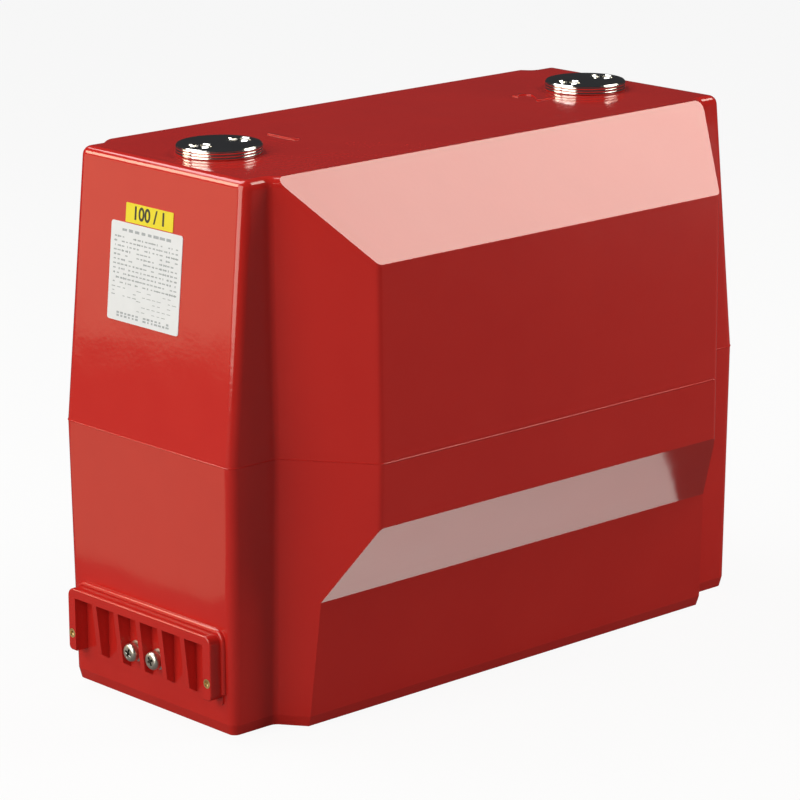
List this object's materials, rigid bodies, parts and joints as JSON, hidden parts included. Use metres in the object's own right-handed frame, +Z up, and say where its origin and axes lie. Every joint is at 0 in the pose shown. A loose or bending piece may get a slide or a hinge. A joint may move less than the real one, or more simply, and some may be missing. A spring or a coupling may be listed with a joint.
{
  "type": "current transformer",
  "caption": "Resin-cast block current transformer: drafted block with a faceted bulge, plated terminals on top and a barrier terminal block on one end.",
  "frame": {"origin": "middle of the mounting face", "axes": "+Z up out of the mounting face, X along the body, -X the end with the secondary terminals"},
  "size_m": [0.3636, 0.2144, 0.28],
  "materials": {
    "cast_resin": "glossy moulded epoxy resin, brick red",
    "plated_copper": "bright silver plating",
    "plated_steel": "bright nickel plating",
    "insert_brass": "turned brass",
    "core_steel": "wound silicon steel strip",
    "winding_copper": "enamelled copper",
    "cushion": "soft wrapping",
    "label_white": "satin film",
    "label_yellow": "satin film"
  },
  "bodies": {
    "root": {"resin_body": "cast_resin", "primary_terminal_left": "plated_copper", "primary_terminal_right": "plated_copper", "secondary_screw_1": "plated_steel", "secondary_screw_2": "plated_steel", "secondary_washer_1": "plated_steel", "secondary_washer_2": "plated_steel", "secondary_insert_1": "insert_brass", "secondary_insert_2": "insert_brass", "cover_insert_left": "insert_brass", "cover_insert_right": "insert_brass", "mount_insert_1": "insert_brass", "mount_insert_2": "insert_brass", "mount_insert_3": "insert_brass", "mount_insert_4": "insert_brass", "iron_core": "core_steel", "secondary_winding": "winding_copper", "primary_winding": "winding_copper", "primary_lead_left": "winding_copper", "primary_lead_right": "winding_copper", "secondary_lead_1": "winding_copper", "secondary_lead_2": "winding_copper", "winding_cushion": "cushion", "rating_label": "label_white", "ratio_label": "label_yellow"}
  },
  "joints": []
}
